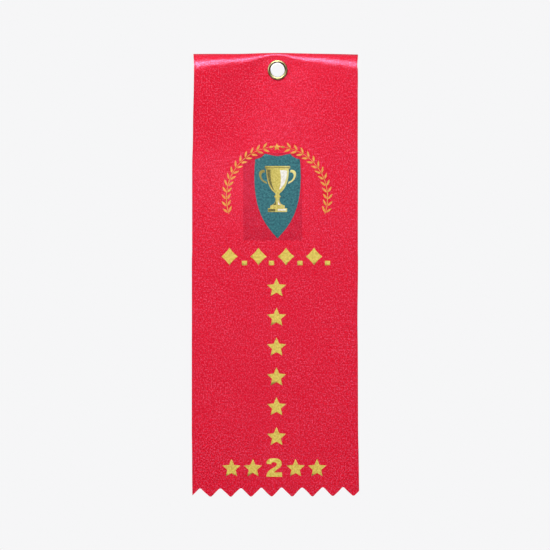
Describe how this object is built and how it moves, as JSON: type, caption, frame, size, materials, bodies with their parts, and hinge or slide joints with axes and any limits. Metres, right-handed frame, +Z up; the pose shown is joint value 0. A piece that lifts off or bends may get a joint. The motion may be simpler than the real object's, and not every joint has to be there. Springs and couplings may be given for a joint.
{
  "type": "award ribbon",
  "caption": "Flat satin award ribbon folded over at the top and clinched by a brass eyelet, with a printed wreath, shield, cup, stars and place numeral, and a pinked lower end.",
  "frame": {"origin": "middle of the eyelet's bore, on its axis, halfway through the two layers of cloth it clinches", "axes": "+Z up the ribbon towards the fold, +Y out of the back (towards the wall or the chest it hangs on), +X to the right of someone looking at the printed front"},
  "size_m": [0.0508, 0.0084, 0.1358],
  "materials": {
    "satin_red": "woven polyester acetate satin, soft sheen",
    "eyelet_brass": "brass plated steel sheet, rolled and polished",
    "ink_gold": "thin screen print ink",
    "ink_yellow": "thin screen print ink",
    "ink_teal": "thin transfer print",
    "ink_cream": "thin transfer print",
    "ink_olive": "thin transfer print"
  },
  "bodies": {
    "head": {"ribbon_head": "satin_red", "eyelet": "eyelet_brass"},
    "panel": {"ribbon_panel": "satin_red", "print_laurel_left": "ink_gold", "print_laurel_right": "ink_gold", "print_wreath_star": "ink_gold", "print_shield": "ink_teal", "print_cup": "ink_yellow", "print_cup_light": "ink_cream", "print_cup_shade": "ink_olive", "print_title_row": "ink_yellow", "print_star_first": "ink_yellow"},
    "tail": {"ribbon_tail": "satin_red", "print_star_column": "ink_yellow", "print_place_row": "ink_yellow"}
  },
  "joints": [
    {"name": "upper_bend", "type": "hinge", "parent": "head", "child": "panel", "pos_m": [-0.00069, -0.00017, -0.018], "axis": [1, 0, 0], "range_deg": [-60, 60]},
    {"name": "lower_bend", "type": "hinge", "parent": "panel", "child": "tail", "pos_m": [-0.00069, -0.00017, -0.071], "axis": [1, 0, 0], "range_deg": [-60, 60]}
  ]
}
